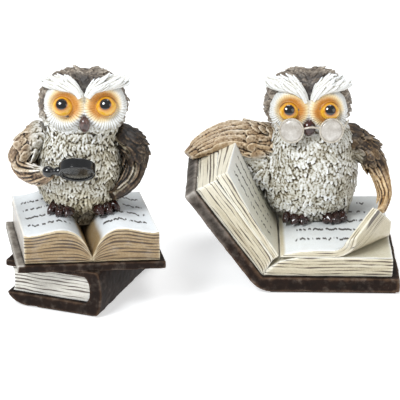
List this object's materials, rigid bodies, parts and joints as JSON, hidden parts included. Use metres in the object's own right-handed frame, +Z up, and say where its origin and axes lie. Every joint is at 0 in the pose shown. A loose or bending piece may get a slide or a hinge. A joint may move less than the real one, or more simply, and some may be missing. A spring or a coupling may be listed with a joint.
{
  "type": "owl book ends",
  "caption": "Pair of cast resin owl book ends: one owl reads with a magnifying glass on stacked books, the other wears spectacles on an open, leaning book.",
  "frame": {"origin": "middle of the pair's footprint, on the shelf that both book ends stand on", "axes": "+X from the owl with the magnifying glass towards the owl with the spectacles, +Y from the fronts of the books to their backs, +Z up"},
  "size_m": [0.2628, 0.1466, 0.1484],
  "materials": {
    "felt": "dark brown felt",
    "book_cover": "dark brown painted resin, satin, worn lighter along the edges",
    "page_edges": "tan painted resin with dark brown lines in the grooves",
    "pages": "off-white painted resin with a tan wash",
    "belly_feathers": "off-white painted resin with a brown wash between the feathers",
    "head_feathers": "dark grey-brown painted resin, dry-brushed lighter",
    "facial_disc": "cream painted resin with an amber ring about the eye",
    "brow_feathers": "white painted resin",
    "eye": "glossy amber with a black pupil",
    "beak": "glossy dark red-brown painted resin",
    "wing_feathers": "tan painted resin with a dark brown wash",
    "dark_wing_feathers": "dark brown painted resin, dry-brushed tan",
    "claw": "glossy dark red-brown painted resin",
    "black_gloss": "glossy black",
    "lens_face": "dark glossy lens face, painted, not clear",
    "spectacle_wire": "pale pearly wire",
    "spectacle_lens": "pearly, not clear"
  },
  "bodies": {
    "lens_bookend": {"lens_felt_pad": "felt", "lens_lower_cover": "book_cover", "lens_lower_pages": "page_edges", "lens_upper_cover": "book_cover", "lens_upper_pages_left": "pages", "lens_upper_pages_right": "pages", "lens_owl_body": "belly_feathers", "lens_owl_head": "head_feathers", "lens_owl_face_left": "facial_disc", "lens_owl_face_right": "facial_disc", "lens_owl_brow_left": "brow_feathers", "lens_owl_brow_right": "brow_feathers", "lens_owl_eye_left": "eye", "lens_owl_eye_right": "eye", "lens_owl_beak": "beak", "lens_owl_wing_left": "wing_feathers", "lens_owl_wing_right": "dark_wing_feathers", "lens_owl_foot_left": "claw", "lens_owl_foot_right": "claw", "lens_owl_tail": "wing_feathers", "magnifier_rim": "black_gloss", "magnifier_glass": "lens_face", "magnifier_handle": "black_gloss"},
    "specs_bookend": {"specs_felt_pad": "felt", "specs_cover": "book_cover", "specs_pages_left": "pages", "specs_leaves_left": "pages", "specs_pages_right": "pages", "specs_leaves_right": "pages", "specs_owl_body": "belly_feathers", "specs_owl_head": "head_feathers", "specs_owl_face_left": "facial_disc", "specs_owl_face_right": "facial_disc", "specs_owl_brow_left": "brow_feathers", "specs_owl_brow_right": "brow_feathers", "specs_owl_eye_left": "eye", "specs_owl_eye_right": "eye", "specs_owl_beak": "beak", "specs_owl_wing_left": "wing_feathers", "specs_owl_wing_right": "dark_wing_feathers", "specs_owl_foot_left": "claw", "specs_owl_foot_right": "claw", "specs_owl_tail": "wing_feathers", "spectacle_frame": "spectacle_wire", "spectacle_lens_left": "spectacle_lens", "spectacle_lens_right": "spectacle_lens"}
  },
  "joints": [
    {"name": "slide_apart", "type": "slide", "parent": "lens_bookend", "child": "specs_bookend", "axis": [1, 0, 0], "range_m": [-0.01, 0.3]}
  ]
}
